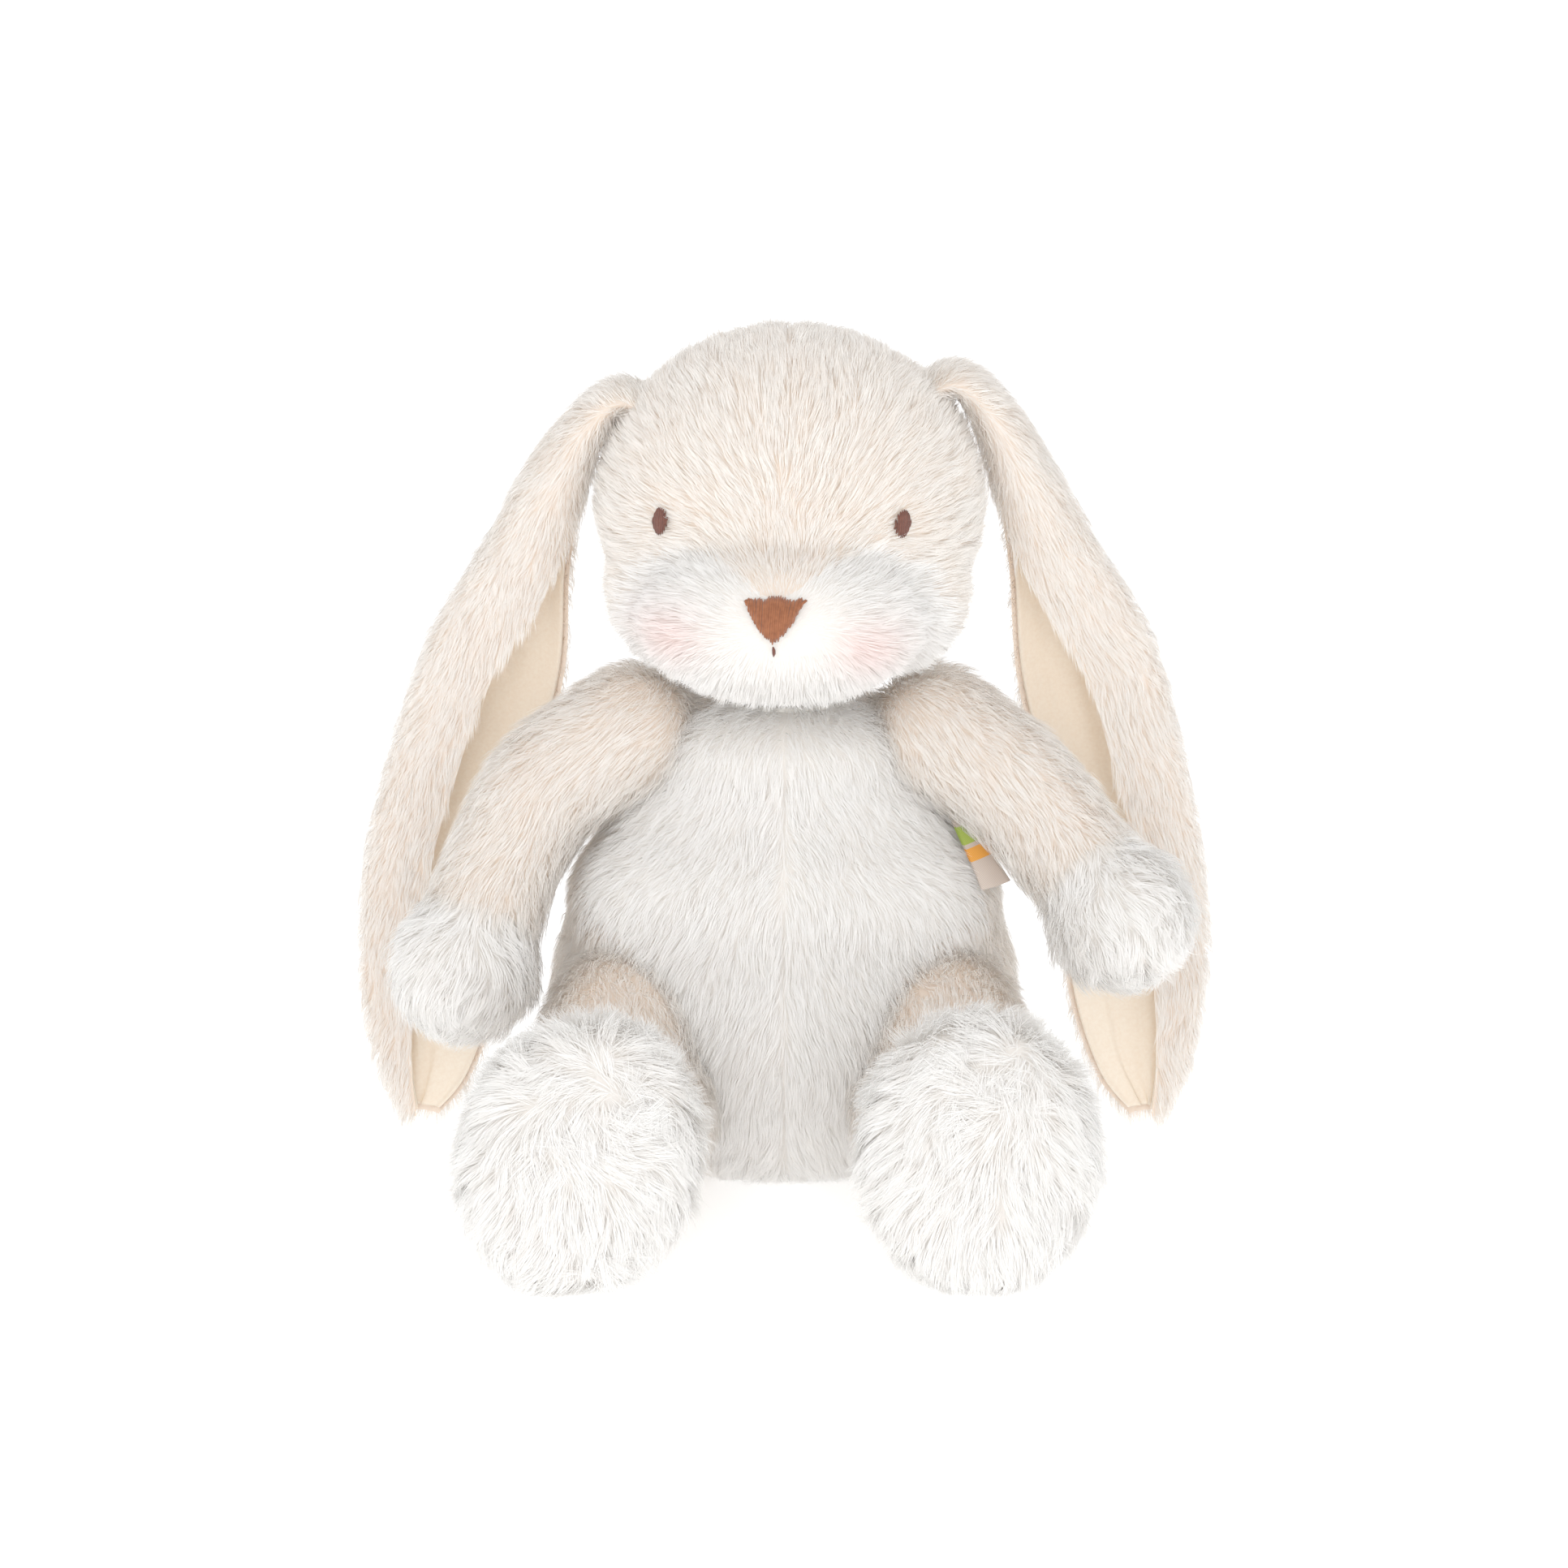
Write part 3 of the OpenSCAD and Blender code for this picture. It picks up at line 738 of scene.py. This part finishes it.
def torso():
    skin = form("torso", torso_form, smooth=40)
    def zones(p):
        belly = (p[:, 1] < -6) & inside(BELLY, p[:, 0], p[:, 2])
        return np.where(belly, np.where(p[:, 0] < 0, 1, 2), 0)
    puff(skin, zones)
    flatten_seat(skin)
    back, left, right = split(skin, zones)
    for node, part, seed, material, slot in (
        ("body_back_skin", back, 21, CREAM, "cream_fur"), ("belly_panel_left", left, 22, WHITE, "white_fur"),
        ("belly_panel_right", right, 23, WHITE, "white_fur"),
    ):
        obj = fur_piece(node + "_fur", part, BODY_PILE, flow_torso, seed, material)
        dress(obj, node, "torso")
    stuff(skin, "body_stuffing", "torso")


def flatten_seat(obj, low=2.0):
    co = np.zeros(len(obj.data.vertices) * 3)
    obj.data.vertices.foreach_get("co", co)
    co = co.reshape(-1, 3)
    z = co[:, 2] / MM
    co[:, 2] = np.where(z < low + 3, low + 3 * np.exp((np.minimum(z, low + 3) - low - 3) / 3), z) * MM
    obj.data.vertices.foreach_set("co", co.ravel())
    obj.data.update()


def arm(name, line):
    skin = form("arm_" + name, arm_form(line))
    tip = np.array(line[3], float)
    def zones(p):
        return (np.linalg.norm(p - tip, axis=1) < 25.5).astype(int)
    puff(skin, zones)
    sleeve, paw = split(skin, zones)
    seed = 31 if name == "left" else 35
    body = "arm_" + name
    obj = fur_piece(body + "_sleeve_fur", sleeve, ARM_PILE, flow_along(line), seed, CREAM)
    dress(obj, body + "_sleeve", body)
    wrist = np.array(line[2], float)
    obj = fur_piece("paw_" + name + "_fur", paw, PAW_PILE, flow_from(wrist), seed + 1, WHITE)
    dress(obj, "paw_" + name, body)
    stuff(skin, body + "_stuffing", body)


def leg(name, side):
    skin = form("leg_" + name, leg_form(side))
    def zones(p):
        foot = in_foot(p, side, 1)
        return np.where(foot, np.where(p[:, 1] < SOLE_Y, 2, 1), 0)
    puff(skin, zones)
    flatten_seat(skin)
    thigh, foot, sole = split(skin, zones)
    body = "leg_" + name
    centre = np.array(FEET[side][0], float)
    seed = 41 if side < 0 else 45
    hip = (side * HIP[0], 10, 60)
    obj = fur_piece(body + "_skin_fur", thigh, LEG_PILE, flow_from(hip, 0.4), seed, CREAM)
    dress(obj, body + "_skin", body)
    combed = flow_from(centre + (0, 30, 0), 0.1)
    obj = fur_piece("foot_" + name + "_fur", foot, FOOT_PILE, combed, seed + 1, WHITE)
    dress(obj, "foot_" + name, body)
    combed = flow_from(centre + (4, 0, 16), 0.2)
    obj = fur_piece("sole_" + name + "_fur", sole, SOLE_PILE, combed, seed + 2, WHITE)
    dress(obj, "sole_" + name, body)
    stuff(skin, body + "_stuffing", body)


# ---- Ears ----


def ear_grid(side, inset, rows, cols, first=0.0, last=1.0, edge=0.0):
    """Points of one layer of an ear in metres, from its root to its tip and round from front to back."""
    line = stations(EAR_LINES[side], 400)
    spine = line[:, :3]
    run = np.gradient(spine, axis=0)
    grid = []
    for s in np.linspace(first, last, rows):
        k = s * 399
        i = min(int(k), 398)
        x, y, z, a, b, front, back = line[i] + (line[i + 1] - line[i]) * (k - i)
        d = run[i]
        out = np.array([-d[2], 0, d[0]]) / math.hypot(d[0], d[2])
        for t in np.linspace(edge, 1 - edge, cols):
            angle = math.radians(-front + (front + back) * t)
            p = np.array([x, y, z]) + out * (a - inset) * math.cos(angle)
            p[1] += (b - inset) * math.sin(angle)
            grid.append((p[0] * side, p[1], p[2]))
    return np.array(grid).reshape(rows, cols, 3) * MM


def grid_mesh(name, grid, outward=True):
    """A mesh of quads over a grid of points, facing away from the grid's own middle line."""
    rows, cols, _ = grid.shape
    index = np.arange(rows * cols).reshape(rows, cols)
    quads = np.stack([index[:-1, :-1], index[:-1, 1:], index[1:, 1:], index[1:, :-1]], -1).reshape(-1, 4)
    if not outward:
        quads = quads[:, ::-1]
    mesh = bpy.data.meshes.new(name)
    mesh.from_pydata(grid.reshape(-1, 3).tolist(), [], quads.tolist())
    for face in mesh.polygons:
        face.use_smooth = True
    mesh.update()
    obj = bpy.data.objects.new(name, mesh)
    bpy.context.scene.collection.objects.link(obj)
    return obj


def flow_ear(points, normals):
    line = stations(EAR_LINES[1], 400)
    run = unit(np.gradient(line[:, :3], axis=0))
    order = np.argsort(line[:, 2])
    z = points[:, 2] / MM
    out = np.stack([np.interp(z, line[order, 2], run[order, k]) for k in range(3)], 1)
    out[:, 0] *= np.sign(points[:, 0])
    return out


def ear(name, side):
    body = "ear_" + name
    grid = ear_grid(side, 3.0, 90, 34)
    cloth = grid_mesh(body + "_fur_cloth", grid, outward=side < 0)
    cloth.data.materials.append(CREAM)
    surface = Surface(cloth)
    seed = 51 if side < 0 else 55
    pile = fur_piece(body + "_pile", surface, EAR_PILE, flow_ear, seed, CREAM, cloth=False)
    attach(cloth, body)
    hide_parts(body + "_fur")
    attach(pile, body)
    lining(name, side, body)


def lining(name, side, body):
    """The smooth lining, a little slack, so that soft folds run down it."""
    rows, cols = 110, 40
    grid = ear_grid(side, 4.8, rows, cols, 0.10, 0.975, 0.012)
    middle = grid.mean(1, keepdims=True)
    for i in range(rows):
        for j in range(cols):
            p = grid[i, j]
            inward = Vector(middle[i, 0] - p)
            inward.normalize()
            edge = min(j, cols - 1 - j, 6) / 6
            fold = noise.noise(Vector((j * 0.28 + side * 9, i * 0.035, 2.0)))
            dimple = noise.noise(Vector((j * 0.5, i * 0.16, side * 5.0)))
            grid[i, j] = p + np.array(inward) * (0.9 + fold * 2.6 + dimple * 0.5) * edge * MM
    obj = grid_mesh(body + "_lining_velour", grid, outward=side < 0)
    thick = obj.modifiers.new("thick", "SOLIDIFY")
    thick.thickness = 0.9 * MM
    thick.offset = 0
    apply_modifiers(obj)
    obj.data.materials.clear()
    obj.data.materials.append(VELOUR)
    dress(obj, body + "_lining", body)


# ---- Face ----


class Skin:
    """The head's cloth, to lay stitches on."""

    def __init__(self, obj):
        self.tree = BVHTree.FromPolygons(
            [v.co.copy() for v in obj.data.vertices], [tuple(f.vertices) for f in obj.data.polygons])

    def at(self, x, z, above):
        """The point over x, z on the face, in mm, as metres with the cloth's normal."""
        aim = faced(np.array([[SKULL[0], -1.0 + SKULL[1], 0.0]]))[0] - np.array([SKULL[0], SKULL[1], 0])
        aim = Vector(aim).normalized()
        start = Vector((faced(np.array([[x, -150.0, z]]))[0]) * MM)
        hit, normal, _, _ = self.tree.ray_cast(start, -aim)
        if hit is None:
            raise ValueError(f"no face at {x}, {z}")
        return hit + normal * above * MM, normal


def threads(name, strokes, radius, material, sides=6):
    """Satin stitches: a rounded thread along each stroke of points and normals."""
    bm = bmesh.new()
    for stroke in strokes:
        rings = []
        for k, (p, n) in enumerate(stroke):
            ahead = stroke[min(k + 1, len(stroke) - 1)][0] - stroke[max(k - 1, 0)][0]
            side = ahead.cross(n).normalized()
            end = 0.35 if k in (0, len(stroke) - 1) else 1.0
            ring = []
            for q in range(sides):
                angle = math.tau * q / sides
                out = side * math.cos(angle) + n * math.sin(angle) * 0.8
                ring.append(bm.verts.new(p + out * radius * end * MM))
            rings.append(ring)
        for one, two in zip(rings, rings[1:]):
            for q in range(sides):
                bm.faces.new((one[q], one[(q + 1) % sides], two[(q + 1) % sides], two[q]))
        bm.faces.new(rings[0][::-1])
        bm.faces.new(rings[-1])
    bmesh.ops.recalc_face_normals(bm, faces=bm.faces)
    mesh = bpy.data.meshes.new(name)
    bm.to_mesh(mesh)
    bm.free()
    for face in mesh.polygons:
        face.use_smooth = True
    mesh.materials.append(material)
    obj = bpy.data.objects.new(name, mesh)
    bpy.context.scene.collection.objects.link(obj)
    return obj


def nose_edge(u, top):
    """Height of the nose's outline at u, from -1 to 1 across its top."""
    if top:
        return 6.2 - 1.0 * u * u + 0.35 * math.cos(u * 7)
    return -6.6 * (1 - abs(u) ** 1.2) + 4.2 * abs(u) ** 3


def face(skin):
    rng = np.random.default_rng(61)
    on = Skin(skin)
    cx, cz = NOSE_MIDDLE
    strokes = []
    for layer, count in ((0, 16), (1, 27)):
        for u in np.linspace(-0.97, 0.97, count):
            v = u + rng.normal(0, 0.012)
            top = nose_edge(v, True) + rng.normal(0, 0.18)
            low = nose_edge(v, False) + rng.normal(0, 0.18)
            stroke = []
            for t in np.linspace(0, 1, 12):
                # The threads fan out from the tip, and a second layer slants across the first
                squeeze = 1 - 0.16 * t
                x = cx + v * 9.8 * squeeze + (0.5 - t) * 0.9 * layer
                z = cz + top + (low - top) * t
                dome = 1.7 * math.sqrt(max(1 - (v * 0.9) ** 2, 0.05)) * math.sin(math.pi * (0.12 + 0.76 * t))
                stroke.append(on.at(x, z, 1.3 + dome + layer * 0.35))
            strokes.append(stroke)
    nose = threads("nose_stitches", strokes, 0.5, BROWN)
    dress(nose, "nose", "head")
    stroke = [on.at(cx - 0.3 + 0.25 * math.sin(k), cz - 7.6 - k * 1.15, 2.5 - 0.3 * k) for k in range(4)]
    mouth = threads("mouth_thread", [stroke], 0.6, DARK)
    dress(mouth, "mouth_stitch", "head")
    for side, node in ((-1, "eye_left"), (1, "eye_right")):
        ex, ez = SKULL[0] + side * EYE[0], EYE[1]
        strokes = []
        for v in np.linspace(-0.93, 0.93, 9):
            half = 4.5 * math.sqrt(1 - v * v)
            stroke = []
            for t in np.linspace(-1, 1, 9):
                x = ex + v * 2.3 + 0.25 * t
                dome = 1.3 * math.sqrt(max(1 - (v * 0.85) ** 2 - (t * 0.8) ** 2, 0.02))
                stroke.append(on.at(x, ez + half * t + rng.normal(0, 0.03), 1.9 + dome * 0.9))
            strokes.append(stroke)
        obj = threads(node + "_stitches", strokes, 0.47, DARK)
        dress(obj, node, "head")


# ---- What lies inside, the tail and the label ----


def neck():
    skin = form("neck", lambda bm: ball(bm, (0, 6, 166), (21, 21, 20.5)), voxel=4)
    stuff(skin, "neck_stuffing", "neck")


def tail():
    skin = form("tail", lambda bm: ball(bm, TAIL, (12.5, 12.5, 12)), voxel=2)
    surface = Surface(skin)
    obj = fur_piece("tail_fur", surface, TAIL_PILE, flow_from((0, 60, 44), 0.4), 71, WHITE)
    dress(obj, "tail_skin", "torso")
    stuff(skin, "tail_stuffing", "torso")


def pellet_bag():
    """The weighted bag in the seat: two halves of cloth, sewn flat round the edge, over loose pellets."""
    cx, cy, cz = PELLET_BAG
    for node, up in (("pellet_bag_top", 1), ("pellet_bag_base", -1)):
        rows, cols = 14, 48
        grid = np.zeros((rows, cols, 3))
        for i, r in enumerate(np.linspace(0.02, 1, rows)):
            for j, turn in enumerate(np.linspace(0, math.tau, cols)):
                lump = 1 + 0.05 * noise.noise(Vector((r * 5, math.cos(turn) * 3, math.sin(turn) * 3 + up)))
                high = 0.3 + 12.6 * max(1 - r ** 2.2, 0) ** 0.6 * lump
                grid[i, j] = (cx + 35 * r * math.cos(turn), cy + 25 * r * math.sin(turn), cz + up * high)
        obj = grid_mesh(node + "_cloth", grid * MM, outward=up < 0)
        obj.data.materials.append(BAG_CLOTH)
        dress(obj, node, "torso")
    rng = np.random.default_rng(81)
    bm = bmesh.new()
    for x in np.arange(-30, 31, 4.4):
        for y in np.arange(-21, 22, 4.4):
            for z in np.arange(-10, 11, 4.0):
                if (x / 33) ** 2 + (y / 23) ** 2 + (z / 11) ** 2 < 0.86:
                    jog = rng.normal(0, 0.35, 3)
                    place = Matrix.Translation(Vector((cx + x, cy + y, cz + z)) * MM + Vector(jog) * MM)
                    grain = Matrix.Diagonal((2.1 * MM, 1.9 * MM, 1.7 * MM, 1))
                    spin = Matrix.Rotation(rng.random() * 3, 4, "X")
                    bmesh.ops.create_icosphere(bm, subdivisions=1, radius=1, matrix=place @ spin @ grain)
    mesh = bpy.data.meshes.new("pellets_loose")
    bm.to_mesh(mesh)
    bm.free()
    mesh.materials.append(PLASTIC)
    obj = bpy.data.objects.new("pellets_loose", mesh)
    bpy.context.scene.collection.objects.link(obj)
    dress(obj, "pellets", "torso")


def label():
    """The folded ribbon in the side seam, under the arm: plain linen with two woven bands of colour."""
    rows, cols = 26, 34
    low, high = np.array(LABEL_SEAM[0], float), np.array(LABEL_SEAM[1], float)
    grid = np.zeros((rows, cols * 2, 3))
    for i in range(rows):
        v = i / (rows - 1)
        root = low + (high - low) * v
        out = Vector((0.93 - 0.30 * v, 0.34 + 0.36 * v, 0.22)).normalized()
        length = 11 - 4 * v
        face_out = Vector((out.y, -out.x, 0)).normalized()
        for j in range(cols * 2):
            t = j / (cols * 2 - 1)
            along = length * (1 - abs(2 * t - 1))
            side = 0.5 * math.copysign(1, 0.5 - t) * min(1, (length - along) / 1.4) ** 0.5
            bow = 0.5 * math.sin(math.pi * along / length) + 0.25 * math.sin(5 * v + along * 0.4)
            grid[i, j] = Vector(root) + out * along + face_out * (side + bow)
    obj = grid_mesh("ribbon_label_folded", grid * MM)
    shade = np.repeat(np.linspace(0, 1, rows), cols * 2)
    obj.data.attributes.new("height", "FLOAT", "POINT").data.foreach_set("value", shade.astype(np.float32))
    obj.data.materials.append(RIBBON)
    dress(obj, "ribbon_label", "torso")


def neck_ring():
    """The seam round the neck stays as the CAD has it, in its thread."""
    for entry in bpy.data.objects["neck_seam"].material_slots:
        entry.material = THREAD


studio()
floor()
head()
torso()
neck()
neck_ring()
tail()
pellet_bag()
label()
arm("left", LEFT_ARM)
arm("right", RIGHT_ARM)
leg("left", -1)
leg("right", 1)
ear("left", -1)
ear("right", 1)
